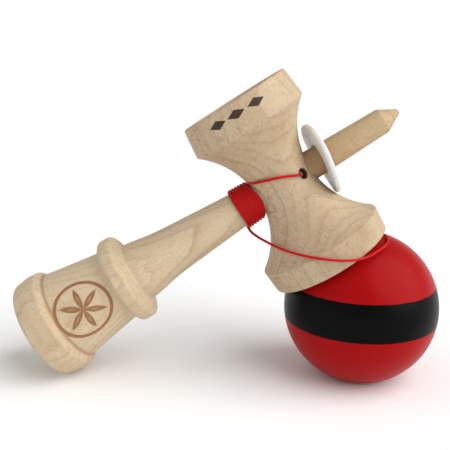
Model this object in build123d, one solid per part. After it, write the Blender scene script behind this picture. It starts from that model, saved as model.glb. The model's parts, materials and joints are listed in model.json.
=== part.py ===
from build123d import *
import math
import os

# A kendama at rest: the ball stands on the rim of its big hole, the big cup of the cross-piece leans on the
# ball, and the lip of the handle's base cup touches the ground. Millimetres, +Z up, ground at Z = 0.

# Driving dimensions
handleRise = 32.66          # the handle's axis above the ground, in degrees
crossLean = 4.2             # the cross-piece's small cup leans back this far about the handle, in degrees
ballRadius = 30.0
ballHoleRadius = 9.0        # the hole that the spike goes into
ballMouthRadius = 10.4      # its bevelled mouth
ballCentreHeight = 27.9     # above the flat ring that the ball stands on
stringHoleRadius = 1.7
stringDiameter = 1.0

# The handle, called the ken: distances along its axis from the crossing, towards the spike
baseEnd = -111.75
baseLipRadius = 20.15
baseLipRound = 2.0
baseBulgeRadius = 20.9      # the base ring swells a little above its lip
baseBulge = -105.8
baseCupRadius = 16.0
baseCupDepth = 9.5
crossStart = -14.0
crossStartRadius = 6.60
crossEnd = 14.0
crossEndRadius = 5.68
spikeShoulder = 43.5
spikeShoulderRadius = 4.87
spikeTip = 50.3

# The cross-piece, called the sarado: distances along its axis from the crossing, towards the big cup
waistRadius = 11.43
flareRadius = 32.5
cupEnd = 35.3
smallCupEnd = 36.6
bigShoulder = 26.3
bigRimRadius = 24.2
bigCupRadius = 20.6
bigCupDepth = 12.5
smallShoulder = 25.1
smallRimRadius = 21.9
smallCupRadius = 18.9
smallCupDepth = 11.0
rimRound = 0.6
taperClearance = 0.02       # between the ken's taper and the bore that is pushed onto it
holeTurn = 43.0             # the cross-piece's string hole, in degrees from the front towards the spike
saradoHoleRadius = 1.65
holeEasing = 0.6            # its mouth is worn to a small bevel

# The disc on the spike
discPlace = 16.9
discRadius = 14.3
discThickness = 1.7
discBore = 5.95
discTip = 4.7               # its lower edge leans towards the cross-piece, in degrees
discTurn = 5.0              # and its near edge towards the spike's point

# Bead and knots
beadRadius = 4.0
beadBore = 1.1
seatClearance = 0.3
knotRadius = 1.9

rise = math.radians(handleRise)
kenDirection = Vector(math.cos(rise), 0, math.sin(rise))
lean = math.radians(crossLean)
uprightDirection = Vector(math.sin(rise), 0, -math.cos(rise))
cupDirection = uprightDirection * math.cos(lean) - Vector(0, 1, 0) * math.sin(lean)
frontDirection = uprightDirection * -math.sin(lean) - Vector(0, 1, 0) * math.cos(lean)

# The rounded lip of the base cup touches the ground, which sets the height of the crossing
lipSlope = (baseBulgeRadius - baseLipRadius) / (baseBulge - baseEnd)
lipCentreRadius = baseLipRadius + baseLipRound * (lipSlope - math.hypot(1, lipSlope))
lipCentreReach = -baseEnd - baseLipRound
crossingHeight = (lipCentreReach * math.sin(rise) + lipCentreRadius * math.cos(rise)
                  + baseLipRound)
# The ball lies on the cross-piece's axis, and the box of the whole object is centred on X = 0 and Y = 0
ballReach = (crossingHeight - ballCentreHeight) / (math.cos(rise) * math.cos(lean))
reachLeft = (lipCentreReach * math.cos(rise) + lipCentreRadius * math.sin(rise)
             + baseLipRound)
reachRight = ballReach * math.sin(rise) * math.cos(lean) + ballRadius
crossing = Vector((reachLeft - reachRight) / 2, ballReach * math.sin(lean), crossingHeight)
ballCentre = crossing + cupDirection * ballReach

kenPlane = Plane(origin=crossing, x_dir=-uprightDirection, z_dir=kenDirection)
saradoPlane = Plane(origin=crossing, x_dir=kenDirection, z_dir=cupDirection)


def turned(outline, plane):
    """A solid of revolution from an outline of (radius, distance) corners with a round for each."""
    corners = [(radius, 0, distance) for radius, distance, _ in outline]
    rounds = [size for _, _, size in outline]
    wire = FilletPolyline(*corners, radius=rounds, close=True)
    face = make_face(wire.edges())
    return plane.location * revolve(face, Axis.Z)


def bowl(openingRadius, depth, rimDistance, side):
    """A ball-shaped hollow whose opening lies at rimDistance and faces the way side points."""
    radius = (openingRadius ** 2 + depth ** 2) / (2 * depth)
    return Pos(0, 0, rimDistance - side * (depth - radius)) * Sphere(radius)


def roundedOpening(openingRadius, rimDistance, side):
    """The flare that rounds the inner edge of a cup's lip."""
    ring = [(openingRadius + rimRound, rimDistance), (openingRadius - 3.0, rimDistance),
            (openingRadius - 3.0, rimDistance - side * rimRound),
            (openingRadius, rimDistance - side * rimRound)]
    corners = [(radius, 0, distance) for radius, distance in ring]
    edges = [Line(corners[0], corners[1]), Line(corners[1], corners[2]), Line(corners[2], corners[3])]
    middle = openingRadius + rimRound * (1 - math.sqrt(0.5))
    bend = (middle, 0, rimDistance - side * rimRound * (1 - math.sqrt(0.5)))
    edges.append(ThreePointArc(corners[3], bend, corners[0]))
    return revolve(make_face(edges), Axis.Z)


def kenBody():
    """The handle's outside: base ring, body, collar, tapering grip, spike."""
    below = [(0, 0, baseEnd), (baseLipRadius, 0, baseEnd), (baseBulgeRadius, 0, baseBulge), (20.6, 0, -101.6),
             (18.25, 0, -99.2), (14.55, 0, -77.2), (15.3, 0, -75.4), (17.75, 0, -73.9),
             (17.65, 0, -69.0), (11.75, 0, -66.8), (11.6, 0, -64.4)]
    belowRounds = [baseLipRound, 6.0, 0.9, 0.8, 1.2, 0.8, 1.9, 2.0, 1.0]
    lower = FilletPolyline(*below, radius=belowRounds)
    gripTop = (crossStartRadius, 0, crossStart)
    grip = Spline((11.6, 0, -64.4), (9.95, 0, -55), (8.55, 0, -41), (7.4, 0, -27), gripTop,
                  tangents=[(-0.16, 0, 1), (-0.035, 0, 1)])
    above = [gripTop, (crossEndRadius, 0, crossEnd), (spikeShoulderRadius, 0, spikeShoulder),
             (0.95, 0, spikeTip), (0, 0, spikeTip)]
    upper = FilletPolyline(*above, radius=[0, 1.0, 0.5])
    axisLine = Line((0, 0, spikeTip), (0, 0, baseEnd))
    outline = lower.edges() + grip.edges() + upper.edges() + axisLine.edges()
    return revolve(make_face(outline), Axis.Z)


def turnAbout(direction, degrees):
    """A plane at the crossing whose Z runs from the front of the waist towards the spike."""
    angle = math.radians(degrees)
    outward = direction * math.sin(angle) + frontDirection * math.cos(angle)
    return Plane(origin=crossing, x_dir=cupDirection, z_dir=outward)


holePlane = turnAbout(kenDirection, holeTurn)
holeDirection = holePlane.z_dir
kenHoleRadius = 1.2
kenHoleLength = 2 * crossStartRadius + 4
knotDepth = 3.6             # how far the knot sits out from the ken's middle, along the string hole


def makeKen():
    cup = bowl(baseCupRadius, baseCupDepth, baseEnd, -1)
    body = kenPlane.location * (kenBody() - cup - roundedOpening(baseCupRadius, baseEnd, -1))
    crossHole = holePlane.location * Cylinder(kenHoleRadius, kenHoleLength)
    pocket = holePlane.location * (Pos(0, 0, -knotDepth) * Cylinder(
        knotRadius + 0.3, 10, align=(Align.CENTER, Align.CENTER, Align.MAX)))
    return body - crossHole - pocket


def makeSarado():
    bigWall = bigShoulder, waistRadius + flareRadius - math.sqrt(flareRadius ** 2 - bigShoulder ** 2)
    smallWall = (-smallShoulder,
                 waistRadius + flareRadius - math.sqrt(flareRadius ** 2 - smallShoulder ** 2))
    flare = ThreePointArc((bigWall[1], 0, bigWall[0]), (waistRadius, 0, 0),
                          (smallWall[1], 0, smallWall[0]))
    bigSide = FilletPolyline((0, 0, cupEnd), (bigRimRadius, 0, cupEnd),
                             (bigWall[1], 0, bigWall[0]), radius=[0.9])
    smallSide = FilletPolyline((smallWall[1], 0, smallWall[0]), (smallRimRadius, 0, -smallCupEnd),
                               (0, 0, -smallCupEnd), radius=[0.9])
    middle = Line((0, 0, -smallCupEnd), (0, 0, cupEnd))
    outline = bigSide.edges() + flare.edges() + smallSide.edges() + middle.edges()
    body = revolve(make_face(outline), Axis.Z)
    shoulders = [edge for edge in body.edges().filter_by(GeomType.CIRCLE)
                 if abs(edge.center().Z - bigShoulder) < 0.01
                 or abs(edge.center().Z + smallShoulder) < 0.01]
    body = fillet(shoulders, 0.9)
    body -= bowl(bigCupRadius, bigCupDepth, cupEnd, 1) + bowl(smallCupRadius, smallCupDepth, -smallCupEnd, -1)
    body -= roundedOpening(bigCupRadius, cupEnd, 1)
    body -= roundedOpening(smallCupRadius, -smallCupEnd, -1)
    taperRate = (crossStartRadius - crossEndRadius) / (crossEnd - crossStart)
    reach = 20.0
    wide = crossStartRadius + taperRate * (reach + crossStart) + taperClearance
    narrow = crossEndRadius - taperRate * (reach - crossEnd) + taperClearance
    bore = kenPlane.location * Cone(wide, narrow, 2 * reach)
    outwards = (Align.CENTER, Align.CENTER, Align.MIN)
    stringHole = Cylinder(saradoHoleRadius, 30, align=outwards)
    easedMouth = Pos(0, 0, waistRadius - holeEasing) * Cone(
        saradoHoleRadius, saradoHoleRadius + 2 * holeEasing, 2 * holeEasing, align=outwards)
    return saradoPlane.location * body - bore - holePlane.location * (stringHole + easedMouth)


seatTop = 6.0               # where the ball's main hole ends in a cone, above the ball's centre
seatAngle = math.radians(30)
seatRise = (ballHoleRadius - stringHoleRadius) / math.tan(seatAngle)
seatApex = seatTop + ballHoleRadius / math.tan(seatAngle)
beadHeight = seatApex - (beadRadius + seatClearance) / math.sin(seatAngle)
bevel = ballMouthRadius - ballHoleRadius


def makeTama():
    floor = -ballCentreHeight
    hollow = [(0, floor - 3), (ballMouthRadius, floor - 3), (ballMouthRadius, floor),
              (ballHoleRadius, floor + bevel), (ballHoleRadius, seatTop),
              (stringHoleRadius, seatTop + seatRise), (stringHoleRadius, ballRadius - 1.3),
              (stringHoleRadius + 2.3, ballRadius + 1.0), (0, ballRadius + 1.0)]
    space = turned([(radius, height, 0) for radius, height in hollow], Plane.XY)
    below = Pos(0, 0, floor - 10) * Box(40, 40, 20)
    return Pos(ballCentre) * (Sphere(ballRadius) - below - space)


def makeDisc():
    ring = Cylinder(discRadius, discThickness)
    ring = fillet(ring.edges().filter_by(GeomType.CIRCLE), discThickness * 0.42)
    ring -= Cylinder(discBore, discThickness + 2)
    ring = Rot(discTurn, -discTip, 0) * ring
    return kenPlane.location * (Pos(0, 0, discPlace) * ring)


def cordTube(name, points, diameter):
    """A tube along straight runs joined by arcs as large as the runs allow."""
    corners = [Vector(*point) for point in points]
    runs = [b - a for a, b in zip(corners, corners[1:])]
    radii = []
    for before, after in zip(runs, runs[1:]):
        half = math.radians(before.get_angle(after)) / 2
        radii.append(0.45 * min(before.length, after.length) / math.tan(half))
    print(name, "radii", [round(radius, 1) for radius in radii])
    path = FilletPolyline(*corners, radius=radii)
    section = Plane(origin=path @ 0, z_dir=path % 0) * Circle(diameter / 2)
    tube = sweep(section, path=path)
    share = tube.volume / (section.area * path.length)
    print(name, "length", round(path.length, 1), "volume share", round(share, 3))
    return tube


# The winding round the grip, between its left edge and the saddle of the cross-piece
wrapStart = -20.8
wrapStartRadius = 7.02
wrapEnd = -9.0
wrapGap = 0.03


def flareRadiusAt(distance):
    """The cross-piece's outer radius at a distance from its waist, along its flare."""
    return waistRadius + flareRadius - math.sqrt(flareRadius ** 2 - distance ** 2)


def makeWrap():
    """The outer shape of the wound string, cut back where it lies against the cross-piece."""
    taperRate = (crossStartRadius - crossEndRadius) / (crossEnd - crossStart)
    stations = [(wrapStart, wrapStartRadius), (crossStart, crossStartRadius),
                (wrapEnd, crossStartRadius - taperRate * (wrapEnd - crossStart))]
    inner = [(radius + wrapGap, 0, place) for place, radius in stations]
    outer = [(radius + stringDiameter, 0, place) for place, radius in reversed(stations)]
    sleeve = revolve(make_face(Polyline(*inner, *outer, close=True).edges()), Axis.Z)
    half = 20.0
    edge = flareRadiusAt(half) + 0.2
    limit = revolve(make_face([
        Line((0, 0, -half), (edge, 0, -half)),
        ThreePointArc((edge, 0, -half), (waistRadius + 0.2, 0, 0), (edge, 0, half)),
        Line((edge, 0, half), (0, 0, half)),
        Line((0, 0, half), (0, 0, -half))]), Axis.Z)
    return kenPlane.location * sleeve - saradoPlane.location * limit


# The string's free stretches, chosen by hand in the object's own frame
leadRoute = [(26.34, -2.22, 80.37), (27.12, -5.31, 81.26), (24.85, -7.03, 81.17), (21.72, -7.82, 81.02),
             (17.8, -8.2, 80.45), (14.03, -7.32, 79.3), (10.81, -5.26, 78.07), (8.44, -2.02, 77.07),
             (7.07, 1.2, 76.38), (6.27, 3.82, 76.01)]
tailRoute = [(5.2, 11.67, 64.51), (7.47, 10.82, 60.25), (8.78, 8.33, 56.5), (11.62, 4.31, 54.94),
             (15.26, -2.49, 54.38), (18.89, -9.18, 53.99), (23.61, -16.57, 54.14), (29.4, -22.01, 54.17),
             (36.31, -24.22, 53.79), (43.34, -23.81, 53.46), (48.83, -21.5, 53.91), (53.8, -17.42, 54.96),
             (57.78, -12.91, 55.87), (60.26, -8.14, 56.68), (60.22, -4.27, 57.64), (57.7, -1.6, 58.05),
             (54.9, -0.4, 58.5), (52.8, 0, 58.8), (52.8, 0, 56.2)]
coreTop = 56.15             # the string's end inside the ball starts just below the tail


def straightCord(start, end):
    """A plain cylinder of string between two points."""
    span = end - start
    plane = Plane(origin=start, z_dir=span.normalized())
    return plane.location * Cylinder(stringDiameter / 2, span.length,
                                     align=(Align.CENTER, Align.CENTER, Align.MIN))


def knot(height):
    """A pulled-tight knot: a squat rounded lump."""
    lump = Cylinder(knotRadius, height)
    return fillet(lump.edges().filter_by(GeomType.CIRCLE), height * 0.42)


beadCentre = ballCentre + Vector(0, 0, beadHeight)
beadFlat = math.sqrt(beadRadius ** 2 - (beadBore + 0.6) ** 2)
knotHeight = 2.6


def makeBead():
    ball = Sphere(beadRadius) & Box(20, 20, 2 * beadFlat)
    return Pos(beadCentre) * (ball - Cylinder(beadBore, 20))


def makeBeadKnot():
    return Pos(beadCentre - Vector(0, 0, beadFlat + knotHeight / 2)) * knot(knotHeight)


def makeCore():
    """The string from the ball's string hole down through the bead to its knot."""
    return straightCord(Vector(ballCentre.X, ballCentre.Y, coreTop), beadCentre - Vector(0, 0, beadFlat))


def makeRoot():
    """The string from its knot in the ken out to the mouth of the cross-piece's hole."""
    return straightCord(crossing - holeDirection * knotDepth, Vector(*leadRoute[0]))


def makeKenKnot():
    place = Plane(origin=crossing - holeDirection * (knotDepth + knotHeight / 2), z_dir=holeDirection)
    return place.location * knot(knotHeight)


os.makedirs("parts", exist_ok=True)
pieces = {
    "ken": makeKen(),
    "sarado": makeSarado(),
    "tama": makeTama(),
    "spike_disc": makeDisc(),
    "bead": makeBead(),
    "bead_knot": makeBeadKnot(),
    "ken_knot": makeKenKnot(),
    "string_root": makeRoot(),
    "string_lead": cordTube("string_lead", leadRoute, stringDiameter),
    "string_wrap": makeWrap(),
    "string_tail": cordTube("string_tail", tailRoute, stringDiameter),
    "string_core": makeCore(),
}
for name, piece in pieces.items():
    export_step(piece, f"parts/{name}.step")
print("crossing", crossing, "ball centre", ballCentre)
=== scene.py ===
import bpy
import json
import math
from mathutils import Matrix, Vector


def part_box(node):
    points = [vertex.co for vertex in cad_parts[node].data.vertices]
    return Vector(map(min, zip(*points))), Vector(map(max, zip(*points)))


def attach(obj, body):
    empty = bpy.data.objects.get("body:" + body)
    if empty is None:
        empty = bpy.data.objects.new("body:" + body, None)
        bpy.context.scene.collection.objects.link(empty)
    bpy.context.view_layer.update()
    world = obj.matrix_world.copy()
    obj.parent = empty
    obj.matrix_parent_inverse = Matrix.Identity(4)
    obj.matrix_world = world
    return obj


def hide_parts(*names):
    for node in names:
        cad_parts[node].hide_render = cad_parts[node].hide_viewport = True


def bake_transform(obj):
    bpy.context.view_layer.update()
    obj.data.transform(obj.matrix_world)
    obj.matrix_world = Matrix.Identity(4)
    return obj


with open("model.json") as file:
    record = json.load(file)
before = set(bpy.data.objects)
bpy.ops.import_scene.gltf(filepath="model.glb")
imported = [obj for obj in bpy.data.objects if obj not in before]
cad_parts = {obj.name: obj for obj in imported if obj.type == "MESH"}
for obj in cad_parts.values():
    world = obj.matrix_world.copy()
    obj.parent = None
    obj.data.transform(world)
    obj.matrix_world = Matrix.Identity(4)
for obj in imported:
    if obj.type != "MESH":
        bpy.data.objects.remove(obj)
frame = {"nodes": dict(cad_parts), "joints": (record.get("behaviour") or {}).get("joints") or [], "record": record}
bpy.context.view_layer.update()
joints = {joint["name"]: joint for joint in frame["joints"]}
mounts = {mount["name"]: mount for mount in frame["record"]["mounts"]}

# The handle runs from its base cup up to the spike, and the cross-piece from its small cup down to the ball
handleAxis = Vector(joints["disc_slide"]["axis"]).normalized()
cupAxis = -Vector(joints["cup_lift"]["axis"]).normalized()
frontAxis = cupAxis.cross(handleAxis)
plainFront = Vector((0, -1, 0))
plainUp = plainFront.cross(handleAxis).normalized()
ballCentre = Vector(joints["string_swivel"]["pos_m"])
spikeMount = 0.0435                               # from the crossing of the two axes to the spike's mount
crossing = Vector(mounts["spike"]["pos_m"]) - handleAxis * spikeMount

# The string's hole: its turn from the front towards the spike in degrees, and how far from the crossing
# the cord begins, leaves the handle and leaves the cross-piece, in metres
stringBore = {"turn": 43.0, "begins": -0.0036, "handleSide": 0.003, "mouth": 0.01143}
boreTurn = math.radians(stringBore["turn"])
boreAxis = handleAxis * math.sin(boreTurn) + frontAxis * math.cos(boreTurn)
print("frame loaded", len(frame["nodes"]), "nodes")


viewpoint = {
    "place": (-0.01141, -0.27421, 0.12914),
    "look": (0.03690, 0.96951, -0.24226),
    "up": (-0.00163, 0.24249, 0.97015),
    "lens": 59.30, "sensor": 36, "nearest": 0.01,
}


def makeCamera():
    data = bpy.data.cameras.new("viewCamera")
    data.lens = viewpoint["lens"]
    data.sensor_width = viewpoint["sensor"]
    data.clip_start = viewpoint["nearest"]
    camera = bpy.data.objects.new("viewCamera", data)
    bpy.context.scene.collection.objects.link(camera)
    look = Vector(viewpoint["look"]).normalized()
    right = look.cross(Vector(viewpoint["up"])).normalized()
    up = right.cross(look)
    turn = Matrix((right, up, -look)).transposed().to_4x4()
    camera.matrix_world = Matrix.Translation(viewpoint["place"]) @ turn
    bpy.context.scene.camera = camera


makeCamera()
print("camera set")


def addPiece(name, mesh, material):
    mesh.materials.append(material)
    piece = bpy.data.objects.new(name, mesh)
    bpy.context.scene.collection.objects.link(piece)
    return piece


def smoothMesh(mesh, angle=35):
    for face in mesh.polygons:
        face.use_smooth = True
    mesh.set_sharp_from_angle(angle=math.radians(angle))


def tubeAlong(name, line, sides, radiusAt, closed=False):
    # rings of points carried along the line without twisting
    mesh = bpy.data.meshes.new(name)
    points, faces, around, along = [], [], [], []
    tangent = (line[1] - line[0]).normalized()
    normal = tangent.orthogonal().normalized()
    travelled = 0.0
    for step, centre in enumerate(line):
        before = line[max(step - 1, 0)]
        after = line[min(step + 1, len(line) - 1)]
        newTangent = (after - before).normalized()
        normal = (tangent.rotation_difference(newTangent) @ normal).normalized()
        tangent = newTangent
        side = tangent.cross(normal)
        if step:
            travelled += (centre - before).length
        for k in range(sides):
            angle = 2 * math.pi * k / sides
            radius = radiusAt(travelled, angle, step)
            points.append(centre + (normal * math.cos(angle) + side * math.sin(angle)) * radius)
            around.append(angle)
            along.append(travelled)
    for step in range(len(line) - 1):
        for k in range(sides):
            a, b = step * sides + k, step * sides + (k + 1) % sides
            faces.append((a, b, b + sides, a + sides))
    if closed:
        faces.append(tuple(reversed(range(sides))))
        last = (len(line) - 1) * sides
        faces.append(tuple(range(last, last + sides)))
    mesh.from_pydata(points, [], faces)
    mesh.update()
    return mesh, around, along


def newMaterial(name):
    material = bpy.data.materials.new(name)
    material.use_nodes = True
    tree = material.node_tree
    tree.nodes.clear()
    shader = tree.nodes.new("ShaderNodeBsdfPrincipled")
    output = tree.nodes.new("ShaderNodeOutputMaterial")
    tree.links.new(shader.outputs[0], output.inputs[0])
    return material, tree, shader


def feed(tree, socket, value):
    if isinstance(value, bpy.types.NodeSocket):
        tree.links.new(value, socket)
    else:
        socket.default_value = value


def calc(tree, operation, *values):
    node = tree.nodes.new("ShaderNodeMath")
    node.operation = operation
    for socket, value in zip(node.inputs, values):
        feed(tree, socket, value)
    return node.outputs[0]


def vectorCalc(tree, operation, *values):
    node = tree.nodes.new("ShaderNodeVectorMath")
    node.operation = operation
    for socket, value in zip(node.inputs, values):
        feed(tree, socket, value)
    return node.outputs["Value" if operation in ("DOT_PRODUCT", "LENGTH", "DISTANCE") else "Vector"]


def fade(tree, value, low, high, start=0.0, end=1.0):
    node = tree.nodes.new("ShaderNodeMapRange")
    node.interpolation_type = "SMOOTHSTEP"
    for socket, number in zip(node.inputs, (value, low, high, start, end)):
        feed(tree, socket, number)
    return node.outputs[0]


def blendColour(tree, share, first, second, kind="MIX"):
    node = tree.nodes.new("ShaderNodeMix")
    node.data_type = "RGBA"
    node.blend_type = kind
    feed(tree, node.inputs[0], share)
    feed(tree, node.inputs[6], first)
    feed(tree, node.inputs[7], second)
    return node.outputs[2]


def speckle(tree, place, stretch, detail=2.0, roughness=0.5):
    node = tree.nodes.new("ShaderNodeTexNoise")
    node.inputs["Scale"].default_value = 1.0
    node.inputs["Detail"].default_value = detail
    node.inputs["Roughness"].default_value = roughness
    feed(tree, node.inputs["Vector"], vectorCalc(tree, "MULTIPLY", place, stretch))
    return node.outputs[0]


def bumpFrom(tree, height, shader, distance, strength=1.0):
    node = tree.nodes.new("ShaderNodeBump")
    node.inputs["Strength"].default_value = strength
    node.inputs["Distance"].default_value = distance
    feed(tree, node.inputs["Height"], height)
    tree.links.new(node.outputs[0], shader.inputs["Normal"])


def colour(red, green, blue):
    # from the 0-255 scale of a paint chart to the shader's linear scale
    return tuple((c / 255 / 12.92 if c < 10.3 else ((c / 255 + 0.055) / 1.055) ** 2.4)
                 for c in (red, green, blue)) + (1.0,)


def millimetresAlong(tree, origin, axes):
    # distances from origin along each axis, in millimetres
    place = tree.nodes.new("ShaderNodeTexCoord").outputs["Object"]
    offset = vectorCalc(tree, "SUBTRACT", place, tuple(origin))
    return [calc(tree, "MULTIPLY", vectorCalc(tree, "DOT_PRODUCT", offset, tuple(axis)), 1000)
            for axis in axes]


def together(tree, *values):
    node = tree.nodes.new("ShaderNodeCombineXYZ")
    for socket, value in zip(node.inputs, values):
        feed(tree, socket, value)
    return node.outputs[0]


def millimetrePlace(tree):
    return together(tree, *millimetresAlong(tree, crossing, ((1, 0, 0), (0, 1, 0), (0, 0, 1))))


def wander(tree, noise, size):
    # a noise of 0 to 1, turned into a drift of half the size each way
    return calc(tree, "MULTIPLY", calc(tree, "SUBTRACT", noise, 0.5), size)


def reachOf(tree, x, y):
    squares = [calc(tree, "POWER", calc(tree, "ABSOLUTE", value), 2.0) for value in (x, y)]
    return calc(tree, "SQRT", calc(tree, "ADD", *squares))


handleWood = {
    "grain": handleAxis, "radial": (0.2, -0.75, 0.35), "pith": 62.0, "ringWidth": 2.7,
    "light": colour(207, 188, 158), "dark": colour(170, 142, 104), "fleck": colour(132, 102, 66),
    "ringShade": 0.95, "fleckShade": 0.4, "seed": 3.0,
}
cupWood = {
    "grain": cupAxis, "radial": (0.45, -0.8, 0.2), "pith": 55.0, "ringWidth": 3.1,
    "light": colour(196, 175, 145), "dark": colour(152, 121, 85), "fleck": colour(116, 84, 54),
    "ringShade": 0.9, "fleckShade": 0.45, "seed": 11.0,
}
beechFigure = {
    "waver": 9.0, "sway": 1.2,                    # how far the rings wander, slowly and quickly, millimetres
    "lateSharp": 5.0, "lateEnds": 0.93,           # a ring darkens towards its edge and stops there
    "faintest": 0.35,                             # the palest ring's share of the strongest one
    "broadShade": 0.32, "fibreShade": 0.35, "rayDepth": 0.6,
}


def beechColour(tree, wood):
    grain = wood["grain"].normalized()
    radial = Vector(wood["radial"])
    radial = (radial - grain * radial.dot(grain)).normalized()
    across, outward, lengthwise = millimetresAlong(tree, crossing, (grain.cross(radial), radial, grain))
    shifted = calc(tree, "ADD", lengthwise, wood["seed"] * 40)
    place = together(tree, across, outward, shifted)
    # growth rings round a far pith, wavering slowly along the grain
    waver = wander(tree, speckle(tree, place, (0.05, 0.05, 0.014)), beechFigure["waver"])
    sway = wander(tree, speckle(tree, place, (0.25, 0.25, 0.05)), beechFigure["sway"])
    depth = calc(tree, "ADD", calc(tree, "ADD", outward, wood["pith"]), calc(tree, "ADD", waver, sway))
    count = calc(tree, "DIVIDE", reachOf(tree, across, depth), wood["ringWidth"])
    part = calc(tree, "FRACT", count)
    late = calc(tree, "MULTIPLY", calc(tree, "POWER", part, beechFigure["lateSharp"]),
                fade(tree, part, 1.0, beechFigure["lateEnds"]))
    white = tree.nodes.new("ShaderNodeTexWhiteNoise")
    white.noise_dimensions = "1D"
    feed(tree, white.inputs["W"], calc(tree, "FLOOR", count))
    faintest = beechFigure["faintest"]
    strength = calc(tree, "ADD", calc(tree, "MULTIPLY", white.outputs[0], 1 - faintest), faintest)
    rings = calc(tree, "MULTIPLY", calc(tree, "MULTIPLY", late, strength), wood["ringShade"])
    broad = fade(tree, speckle(tree, place, (0.07, 0.07, 0.03), 3.0), 0.3, 0.75)
    fibre = speckle(tree, place, (5.0, 5.0, 0.35), 3.0, 0.6)
    clouds = calc(tree, "MULTIPLY", broad, beechFigure["broadShade"])
    base = blendColour(tree, clouds, wood["light"], wood["dark"])
    base = blendColour(tree, rings, base, wood["dark"])
    threads = calc(tree, "MULTIPLY", fade(tree, fibre, 0.42, 0.75), beechFigure["fibreShade"])
    base = blendColour(tree, threads, base, wood["dark"])
    # rays: thin sheets that show end on as short dashes
    dashes = speckle(tree, place, (5.6, 0.14, 0.7), 1.0)
    ray = fade(tree, dashes, 0.57, 0.68)
    base = blendColour(tree, calc(tree, "MULTIPLY", ray, wood["fleckShade"]), base, wood["fleck"])
    height = calc(tree, "SUBTRACT", calc(tree, "MULTIPLY", fibre, 0.5),
                  calc(tree, "MULTIPLY", ray, beechFigure["rayDepth"]))
    return base, height


def handleRadial(tree):
    along, high, near = millimetresAlong(tree, crossing, (handleAxis, plainUp, plainFront))
    turn = calc(tree, "ARCTAN2", high, near)
    return along, high, near, turn


# A burnt rosette in a ring, on the front of the handle's base
handleMark = {"along": -88.2, "turn": 8.0, "skinRadius": 16.6, "ring": 10.6, "petal": 8.8,
              "line": 0.65, "burnt": colour(140, 98, 60), "scorched": colour(196, 158, 112),
              "haloShade": 0.12, "depth": 1.2, "skinThick": 3.2}


def onSkin(tree, side, near, radius):
    # only the outside of a turned piece, not the hollow behind it
    reach = vectorCalc(tree, "LENGTH", together(tree, side, near, 0.0))
    return fade(tree, reach, radius, radius + 0.3)


def rosetteMask(tree, mark):
    along, high, near, turn = handleRadial(tree)
    u = calc(tree, "MULTIPLY", calc(tree, "SUBTRACT", turn, math.radians(mark["turn"])), mark["skinRadius"])
    v = calc(tree, "SUBTRACT", along, mark["along"])
    reach = reachOf(tree, u, v)
    fromRing = calc(tree, "ABSOLUTE", calc(tree, "SUBTRACT", reach, mark["ring"]))
    ring = fade(tree, fromRing, mark["line"] + 0.12, mark["line"] - 0.12)
    sector = math.pi / 3
    heading = calc(tree, "ADD", calc(tree, "ARCTAN2", v, u), 4 * sector + sector / 2)
    folded = calc(tree, "SUBTRACT", calc(tree, "MODULO", heading, sector), sector / 2)
    x = calc(tree, "MULTIPLY", reach, calc(tree, "COSINE", folded))
    y = calc(tree, "ABSOLUTE", calc(tree, "MULTIPLY", reach, calc(tree, "SINE", folded)))
    size = mark["petal"]
    away = vectorCalc(tree, "DISTANCE", together(tree, x, y, 0.0),
                      (size / 2, -size * math.sqrt(3) / 2, 0.0))
    inside = calc(tree, "SUBTRACT", size, away)
    outline = fade(tree, inside, -0.1, 0.1)
    core = fade(tree, inside, mark["line"] * 1.25, mark["line"] * 1.25 + 0.2)
    vein = fade(tree, y, 0.1, 0.22)
    petals = calc(tree, "MULTIPLY", outline, calc(tree, "SUBTRACT", 1.0, calc(tree, "MULTIPLY", core, vein)))
    halo = fade(tree, fromRing, 1.8, 0.4)
    skin = onSkin(tree, high, near, mark["skinRadius"] - mark["skinThick"])
    return calc(tree, "MULTIPLY", calc(tree, "MAXIMUM", ring, petals), skin), halo, along


handleFinish = {
    "groove": {"along": -99.0, "half": 1.1, "shade": 0.6, "colour": colour(150, 112, 72)},
    "spike": {"starts": -30.0, "ends": 20.0, "shade": 0.42, "tint": colour(212, 186, 132)},
    # just past the cross-piece: browner wood with painted shade from the cross-piece and disc
    "toneAndShadeBeside": {"shade": 0.5, "tint": colour(190, 150, 100)},
    "roughness": 0.56, "specular": 0.35, "relief": 0.00008,
}


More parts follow.
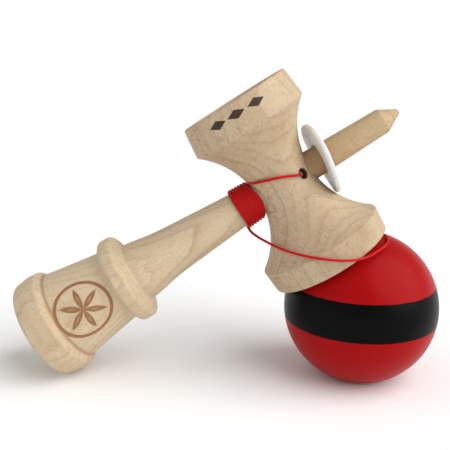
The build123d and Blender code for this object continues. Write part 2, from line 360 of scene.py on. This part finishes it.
def makeHandleMaterial():
    material, tree, shader = newMaterial("handleBeech")
    base, height = beechColour(tree, handleWood)
    mask, halo, along = rosetteMask(tree, handleMark)
    grit = speckle(tree, millimetrePlace(tree), (2.6, 2.6, 2.6), 3.0, 0.7)
    worn = calc(tree, "MULTIPLY", mask, fade(tree, grit, 0.22, 0.5, 0.55, 1.0))
    scorch = calc(tree, "MULTIPLY", halo, handleMark["haloShade"])
    base = blendColour(tree, scorch, base, handleMark["scorched"])
    base = blendColour(tree, worn, base, handleMark["burnt"])
    # friction-burnt line in the groove above the base ring
    part = handleFinish["groove"]
    fromGroove = calc(tree, "ABSOLUTE", calc(tree, "SUBTRACT", along, part["along"]))
    burn = calc(tree, "MULTIPLY", fade(tree, fromGroove, part["half"], 0.1), part["shade"])
    base = blendColour(tree, burn, base, part["colour"])
    # the spike end is a little browner, and more so just past the cross-piece, where the darkening is partly
    # browner wood and partly painted shade between the cross-piece and the disc
    part = handleFinish["spike"]
    spike = calc(tree, "MULTIPLY", fade(tree, along, part["starts"], part["ends"]), part["shade"])
    base = blendColour(tree, spike, base, part["tint"], "MULTIPLY")
    part = handleFinish["toneAndShadeBeside"]
    toneAndShadeBeside = calc(tree, "MULTIPLY", fade(tree, along, 36.0, 12.0), fade(tree, along, 4.0, 8.0))
    base = blendColour(tree, calc(tree, "MULTIPLY", toneAndShadeBeside, part["shade"]), base, part["tint"], "MULTIPLY")
    tree.links.new(base, shader.inputs["Base Color"])
    shader.inputs["Roughness"].default_value = handleFinish["roughness"]
    shader.inputs["Specular IOR Level"].default_value = handleFinish["specular"]
    height = calc(tree, "SUBTRACT", height, calc(tree, "MULTIPLY", worn, handleMark["depth"]))
    bumpFrom(tree, height, shader, handleFinish["relief"], 0.5)
    return material


# Three burnt lozenges round the small cup's band, and the burnt string hole
cupMarks = {"along": -32.2, "turns": (-24.5, -4.5, 16.5), "skinRadius": 22.4, "half": (3.6, 1.7),
            "burnt": colour(30, 10, 7), "shade": 0.95, "depth": 1.2, "skinThick": 1.2,
            "holeEdge": (2.5, 1.9), "holeRagged": 0.9, "holeBurnt": colour(66, 30, 17)}
cupFinish = {"roughness": 0.58, "specular": 0.35, "relief": 0.00008}


def makeCupMaterial():
    material, tree, shader = newMaterial("cupBeech")
    base, height = beechColour(tree, cupWood)
    along, side, near = millimetresAlong(tree, crossing, (cupAxis, handleAxis, frontAxis))
    turn = calc(tree, "ARCTAN2", side, near)
    v = calc(tree, "SUBTRACT", along, cupMarks["along"])
    wide, tall = cupMarks["half"]
    marks = 0.0
    for place in cupMarks["turns"]:
        u = calc(tree, "MULTIPLY", calc(tree, "SUBTRACT", turn, math.radians(place)), cupMarks["skinRadius"])
        size = calc(tree, "ADD", calc(tree, "DIVIDE", calc(tree, "ABSOLUTE", u), wide),
                    calc(tree, "DIVIDE", calc(tree, "ABSOLUTE", v), tall))
        marks = calc(tree, "MAXIMUM", marks, fade(tree, size, 1.06, 0.94))
    skin = onSkin(tree, side, near, cupMarks["skinRadius"] - cupMarks["skinThick"])
    marks = calc(tree, "MULTIPLY", marks, skin)
    base = blendColour(tree, calc(tree, "MULTIPLY", marks, cupMarks["shade"]), base, cupMarks["burnt"])
    # the string's hole, burnt round its ragged edge
    place = tree.nodes.new("ShaderNodeTexCoord").outputs["Object"]
    offset = vectorCalc(tree, "SUBTRACT", place, tuple(crossing))
    ahead = vectorCalc(tree, "DOT_PRODUCT", offset, tuple(boreAxis))
    aside = vectorCalc(tree, "LENGTH", vectorCalc(tree, "CROSS_PRODUCT", offset, tuple(boreAxis)))
    drift = wander(tree, speckle(tree, millimetrePlace(tree), (1.8, 1.8, 1.8)), cupMarks["holeRagged"])
    ragged = calc(tree, "ADD", calc(tree, "MULTIPLY", aside, 1000), drift)
    hole = calc(tree, "MULTIPLY", fade(tree, ragged, *cupMarks["holeEdge"]), fade(tree, ahead, 0.0, 0.002))
    base = blendColour(tree, hole, base, cupMarks["holeBurnt"])
    tree.links.new(base, shader.inputs["Base Color"])
    shader.inputs["Roughness"].default_value = cupFinish["roughness"]
    shader.inputs["Specular IOR Level"].default_value = cupFinish["specular"]
    height = calc(tree, "SUBTRACT", height, calc(tree, "MULTIPLY", marks, cupMarks["depth"]))
    bumpFrom(tree, height, shader, cupFinish["relief"], 0.5)
    return material


# The band's edges are heights above the ground, and inside the skin radius the wood is bare, millimetres
ballPaint = {
    "red": colour(158, 8, 10), "deepRed": colour(146, 6, 9), "black": colour(3, 3, 4),
    "bandLow": 24.1, "bandHigh": 38.4, "edge": 0.06, "waver": 0.22,
    "bare": colour(205, 176, 132), "skin": 29.62,
    "roughness": 0.34, "bareRoughness": 0.25, "specular": 0.07, "relief": 0.00006,
}


def makeBallMaterial():
    material, tree, shader = newMaterial("ballLacquer")
    east, north, high = millimetresAlong(tree, Vector((0, 0, 0)), ((1, 0, 0), (0, 1, 0), (0, 0, 1)))
    place = together(tree, east, north, high)
    edge = ballPaint["edge"]
    level = calc(tree, "ADD", high, wander(tree, speckle(tree, place, (0.3, 0.3, 0.3)), ballPaint["waver"]))
    band = calc(tree, "MULTIPLY", fade(tree, level, ballPaint["bandLow"] - edge, ballPaint["bandLow"] + edge),
                fade(tree, level, ballPaint["bandHigh"] + edge, ballPaint["bandHigh"] - edge))
    cloud = speckle(tree, place, (0.16, 0.16, 0.16), 4.0)
    red = blendColour(tree, fade(tree, cloud, 0.3, 0.75, 0.0, 0.25), ballPaint["red"], ballPaint["deepRed"])
    paint = blendColour(tree, band, red, ballPaint["black"])
    whole = tree.nodes.new("ShaderNodeTexCoord").outputs["Object"]
    offset = vectorCalc(tree, "SUBTRACT", whole, tuple(ballCentre))
    reach = calc(tree, "MULTIPLY", vectorCalc(tree, "LENGTH", offset), 1000)
    bare = fade(tree, reach, ballPaint["skin"] + 0.05, ballPaint["skin"] - 0.05)
    tree.links.new(blendColour(tree, bare, paint, ballPaint["bare"]), shader.inputs["Base Color"])
    rougher = calc(tree, "MULTIPLY", bare, ballPaint["bareRoughness"])
    feed(tree, shader.inputs["Roughness"], calc(tree, "ADD", ballPaint["roughness"], rougher))
    shader.inputs["Specular IOR Level"].default_value = ballPaint["specular"]
    bumpFrom(tree, speckle(tree, place, (1.1, 1.1, 1.1)), shader, ballPaint["relief"], 0.35)
    return material


# Millimetres, with its place along the handle from the crossing; tips are slopes, and warp is per millimetre
discShape = {
    "place": 16.9, "outer": 14.3, "inner": 5.95, "thick": 2.0, "round": 0.8, "bendSteps": 6, "sides": 160,
    "tipUp": math.tan(math.radians(4.7)), "tipNear": math.tan(math.radians(5.0)), "warp": 0.005,
}
discFinish = {"colour": colour(226, 225, 223), "shade": colour(200, 198, 194), "roughness": 0.42,
              "glow": 0.15, "glowRadius": (0.001, 0.001, 0.001), "relief": 0.00004}


def makeDiscMaterial():
    material, tree, shader = newMaterial("whitePlastic")
    place = millimetrePlace(tree)
    tint = fade(tree, speckle(tree, place, (0.4, 0.4, 0.4), 4.0), 0.3, 0.8, 0.0, 0.35)
    base = blendColour(tree, tint, discFinish["colour"], discFinish["shade"])
    tree.links.new(base, shader.inputs["Base Color"])
    shader.inputs["Roughness"].default_value = discFinish["roughness"]
    shader.inputs["Subsurface Weight"].default_value = discFinish["glow"]
    shader.inputs["Subsurface Radius"].default_value = discFinish["glowRadius"]
    bumpFrom(tree, speckle(tree, place, (1.5, 1.5, 1.5), 3.0), shader, discFinish["relief"], 0.4)
    return material


def makeDisc(material):
    half, bend = discShape["thick"] / 2, discShape["round"]
    steps, turns = discShape["bendSteps"], discShape["sides"]
    outline = []
    corners = ((discShape["outer"], half, 1, 1), (discShape["inner"], half, -1, 1),
               (discShape["inner"], -half, -1, -1), (discShape["outer"], -half, 1, -1))
    for radius, level, outward, upward in corners:
        arc = []
        for k in range(steps + 1):
            angle = math.pi / 2 * k / steps
            inward = outward * bend * (1 - math.cos(angle))
            downward = upward * bend * (1 - math.sin(angle))
            arc.append((radius - inward, level - downward))
        outline += arc if outward * upward > 0 else arc[::-1]
    mesh = bpy.data.meshes.new("warpedDisc")
    points, faces, count = [], [], len(outline)
    for k in range(turns):
        angle = 2 * math.pi * k / turns
        for radius, level in outline:
            up, near = radius * math.cos(angle), radius * math.sin(angle)
            lean = discShape["tipUp"] * up + discShape["tipNear"] * near + discShape["warp"] * up * near
            points.append(crossing + (handleAxis * (discShape["place"] + level + lean)
                                      + plainUp * up + plainFront * near) / 1000)
    for k in range(turns):
        for j in range(count):
            a, b = k * count + j, k * count + (j + 1) % count
            c, d = (k + 1) % turns * count + (j + 1) % count, (k + 1) % turns * count + j
            faces.append((a, b, c, d))
    mesh.from_pydata(points, [], faces)
    mesh.update()
    smoothMesh(mesh)
    disc = addPiece("warpedDisc", mesh, material)
    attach(disc, "disc")
    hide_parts("spike_disc")


# The cord in metres; its winding in millimetres along the handle from the crossing, and in degrees round it
string = {
    "thick": 0.00100, "sides": 16, "colour": colour(198, 16, 16), "shade": colour(96, 3, 4),
    "roughness": 0.5, "specular": 0.14, "fibres": 0.3,
    "sag": (0.0150, 0, 0.0540), "sagEnd": (0.04055, 0, 0.03925),
}
winding = {
    "turns": 12, "perTurn": 14, "begins": 92.0, "stops": 161.9,
    "rightTop": -13.1, "rightBulge": 3.0, "left": -20.32,
    "pileUp": 0.42,                               # every other turn rides up on the one below it
    "tight": 0.88,                                # how far the pulled cord thins
    "reach": (-21.2, -9.0), "within": 0.0086,     # where the cord counts as wound
    "ease": 6,                                    # steps over which it thins
}
braid = {
    "strands": 4, "climb": 1400.0,                # strands round the cord climb this many radians a metre
    "relief": 0.035, "reliefPressed": 0.3,        # the second is what is left of the first in the winding
    # shade, shadePressed, crevice and creviceShade paint shade: in the valleys between strands, and in the
    # crevices between wound turns
    "shade": 0.2, "shadePressed": 0.25,
    "crevice": 0.00040, "creviceShade": 1.4,
}
# The cord's free stretches, in millimetres
leadRoute = [(26.34, -2.22, 80.37), (27.12, -5.31, 81.26), (24.85, -7.03, 81.17), (21.72, -7.82, 81.02),
             (17.8, -8.2, 80.45), (14.03, -7.32, 79.3), (10.81, -5.26, 78.07), (8.44, -2.02, 77.07),
             (7.07, 1.2, 76.38)]
tailRoute = [(5.2, 11.67, 64.51), (7.47, 10.82, 60.25), (8.78, 8.33, 56.5), (11.62, 4.31, 54.94),
             (15.26, -2.49, 54.38), (18.89, -9.18, 53.99), (23.61, -16.57, 54.14), (29.4, -22.01, 54.17),
             (36.31, -24.22, 53.79), (43.34, -23.81, 53.46), (48.83, -21.5, 53.91), (53.8, -17.42, 54.96),
             (57.78, -12.91, 55.87), (60.26, -8.14, 56.68), (60.22, -4.27, 57.64), (57.7, -1.6, 58.05),
             (54.9, -0.4, 58.5), (52.8, 0, 58.8), (52.8, 0, 56.2)]


# The handle's taper under the winding, millimetres: radii at its break, and that far below and above it
grip = {"break": -14.0, "radius": 6.60, "below": (6.8, 7.02), "above": (28.0, 5.68)}


def gripRadius(along):
    past = along - grip["break"]
    run, radius = grip["above"] if past >= 0 else grip["below"]
    return grip["radius"] + abs(past) * (radius - grip["radius"]) / run


def woundPoints():
    points, perTurn = [], winding["perTurn"]
    start, end = winding["begins"], winding["stops"] + 360.0 * winding["turns"]
    steps = winding["turns"] * perTurn
    # a control point lies outside the round that it makes
    outward = 1 / math.cos(math.pi / perTurn) ** 2
    for k in range(steps + 1):
        share = k / steps
        degrees = start + (end - start) * share
        angle = math.radians(degrees)
        right = winding["rightTop"] + winding["rightBulge"] * math.cos(angle) ** 2
        along = right * (1 - share) + winding["left"] * share
        lifted = winding["pileUp"] * math.sin(angle) ** 2 * (int(degrees // 360) % 2)
        radius = (gripRadius(along) + 500 * string["thick"] * winding["tight"] + lifted) * outward
        around = frontAxis * math.cos(angle) - cupAxis * math.sin(angle)
        points.append(crossing + (handleAxis * along + around * radius) / 1000)
    return points


def stringLine():
    root = [crossing + boreAxis * stringBore[end] for end in ("begins", "handleSide")]
    free = [Vector(point) / 1000 for point in leadRoute]
    tail = [Vector(point) / 1000 for point in tailRoute]
    bottom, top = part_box("string_core")[0].z, tail[-1].z
    inside = [Vector((ballCentre.x, 0, bottom + (top - bottom) * share)) for share in (0.66, 0.33, 0.0)]
    points = root + free + woundPoints() + tail + inside
    data = bpy.data.curves.new("stringLine", "CURVE")
    data.dimensions = "3D"
    spline = data.splines.new("NURBS")
    spline.points.add(len(points) - 1)
    for target, point in zip(spline.points, points):
        target.co = (*point, 1)
    spline.order_u = 3
    spline.use_endpoint_u = True
    spline.resolution_u = 12
    holder = bpy.data.objects.new("stringLine", data)
    mesh = bpy.data.meshes.new_from_object(holder)
    line = [vertex.co.copy() for vertex in mesh.vertices]
    bpy.data.objects.remove(holder)
    bpy.data.curves.remove(data)
    bpy.data.meshes.remove(mesh)
    return line


def makeStringMaterial():
    material, tree, shader = newMaterial("redBraid")
    # the groove attribute carries painted shade between strands and turns, mixed towards the shade colour
    attribute = tree.nodes.new("ShaderNodeAttribute")
    attribute.attribute_name = "groove"
    fibres = speckle(tree, millimetrePlace(tree), (9.0, 9.0, 9.0), 2.0)
    share = calc(tree, "ADD", attribute.outputs["Fac"], wander(tree, fibres, string["fibres"]))
    tree.links.new(blendColour(tree, fade(tree, share, 0.0, 1.0), string["colour"], string["shade"]),
                   shader.inputs["Base Color"])
    shader.inputs["Roughness"].default_value = string["roughness"]
    shader.inputs["Specular IOR Level"].default_value = string["specular"]
    return material


def fromAxis(point):
    offset = point - crossing
    return (offset - handleAxis * offset.dot(handleAxis)).length


def braidLumps(travelled, angle):
    turn, climb = braid["strands"] * angle, braid["climb"] * travelled
    return math.cos(turn + climb) * math.cos(turn - climb)


def howWound(line):
    # 1 in the winding and 0 outside it, easing over a few steps
    lowest, highest = winding["reach"]
    wound = []
    for point in line:
        along = (point - crossing).dot(handleAxis) * 1000
        wound.append(1.0 if lowest < along < highest and fromAxis(point) < winding["within"] else 0.0)
    eased, ease = [], winding["ease"]
    for k in range(len(line)):
        window = wound[max(k - ease, 0):k + ease + 1]
        eased.append(sum(window) / len(window))
    return eased


def makeString(material):
    line = stringLine()
    wound = howWound(line)

    def radiusAt(travelled, angle, step):
        tight = 1 - (1 - winding["tight"]) * wound[step]
        relief = braid["relief"] * (1 - (1 - braid["reliefPressed"]) * wound[step])
        return string["thick"] / 2 * tight * (1 + relief * braidLumps(travelled, angle))

    mesh, around, along = tubeAlong("redString", line, string["sides"], radiusAt, closed=True)
    # painted shade: darker between the strands, and darkest in the crevices between the turns
    groove = mesh.attributes.new("groove", "FLOAT", "POINT")
    for k, (angle, travelled) in enumerate(zip(around, along)):
        step = k // string["sides"]
        proud = fromAxis(mesh.vertices[k].co) - fromAxis(line[step])
        crevice = wound[step] * (1 - min(max(proud / braid["crevice"], 0.0), 1.0))
        pressed = 1 - (1 - braid["shadePressed"]) * wound[step]
        strands = braid["shade"] * (1 - braidLumps(travelled, angle) * pressed)
        groove.data[k].value = strands + braid["creviceShade"] * crevice
    for face in mesh.polygons:
        face.use_smooth = True
    piece = addPiece("redString", mesh, material)
    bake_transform(piece)
    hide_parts("string_root", "string_lead", "string_wrap", "string_tail", "string_core")
    length = sum((b - a).length for a, b in zip(line, line[1:]))
    print("string", round(length * 1000), "mm in", len(line), "points")
    return piece, line, length


knot = {"size": 0.00042, "height": 1.6, "cord": 0.00052, "steps": 120, "sides": 14}


def makeKnot(name, node, body, axis, material):
    # a pulled-tight overhand knot: a thick cord along a closed trefoil
    low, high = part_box(node)
    centre = (low + high) / 2
    across = axis.orthogonal().normalized()
    other = axis.cross(across)
    line = []
    for k in range(knot["steps"] + 1):
        turn = 2 * math.pi * k / knot["steps"]
        x = math.sin(turn) + 2 * math.sin(2 * turn)
        y = math.cos(turn) - 2 * math.cos(2 * turn)
        z = -math.sin(3 * turn) * knot["height"]
        line.append(centre + (across * x + other * y + axis * z) * knot["size"])
    mesh, _, _ = tubeAlong(name, line, knot["sides"], lambda travelled, angle, step: knot["cord"])
    for face in mesh.polygons:
        face.use_smooth = True
    piece = addPiece(name, mesh, material)
    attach(piece, body)
    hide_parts(node)
    return piece


redBraid = makeStringMaterial()
stringPiece, centreLine, stringLength = makeString(redBraid)
ballKnot = makeKnot("ballKnot", "bead_knot", "swivel", Vector((0, 0, 1)), redBraid)
handleKnot = makeKnot("handleKnot", "ken_knot", "handle", boreAxis, redBraid)
print("string and knots made")


def dress(node, material):
    piece = frame["nodes"][node]
    piece.data.materials.clear()
    piece.data.materials.append(material)


handleBeech = makeHandleMaterial()
cupBeech = makeCupMaterial()
dress("ken", handleBeech)
dress("sarado", cupBeech)
dress("bead", cupBeech)
dress("tama", makeBallMaterial())
makeDisc(makeDiscMaterial())
print("wood, ball and disc made")


studio = {
    "floor": colour(250, 250, 250), "floorSize": 14, "floorRoughness": 0.9,
    "sky": 0.42, "horizon": 1.12, "horizonTop": (0.08, 0.2),
    "suns": (
        {"name": "keyLight", "from": (0.80, -0.40, 0.80), "spread": 70, "strength": 2.9},
        {"name": "fillLight", "from": (-0.7, -0.35, 0.7), "spread": 80, "strength": 0.3},
    ),
}


def makeStudio():
    bpy.ops.mesh.primitive_plane_add(size=studio["floorSize"])
    floor = bpy.context.object
    floor.name = "paleFloor"
    material, tree, shader = newMaterial("palePaper")
    shader.inputs["Base Color"].default_value = studio["floor"]
    shader.inputs["Roughness"].default_value = studio["floorRoughness"]
    floor.data.materials.append(material)
    for sun in studio["suns"]:
        data = bpy.data.lights.new(sun["name"], "SUN")
        data.angle = math.radians(sun["spread"])
        data.energy = sun["strength"]
        light = bpy.data.objects.new(sun["name"], data)
        light.rotation_euler = (-Vector(sun["from"])).to_track_quat("-Z", "Y").to_euler()
        bpy.context.scene.collection.objects.link(light)
    # a bright band round the horizon and a softer sky above it
    world = bpy.data.worlds.new("studioWorld")
    world.use_nodes = True
    tree = world.node_tree
    background = tree.nodes["Background"]
    height = tree.nodes.new("ShaderNodeSeparateXYZ")
    tree.links.new(tree.nodes.new("ShaderNodeTexCoord").outputs["Generated"], height.inputs[0])
    bright = fade(tree, height.outputs["Z"], *studio["horizonTop"], studio["horizon"], studio["sky"])
    tree.links.new(bright, background.inputs["Strength"])
    background.inputs["Color"].default_value = (1, 1, 1, 1)
    bpy.context.scene.world = world
    bpy.context.scene.view_settings.view_transform = "Standard"


makeStudio()
print("studio made")
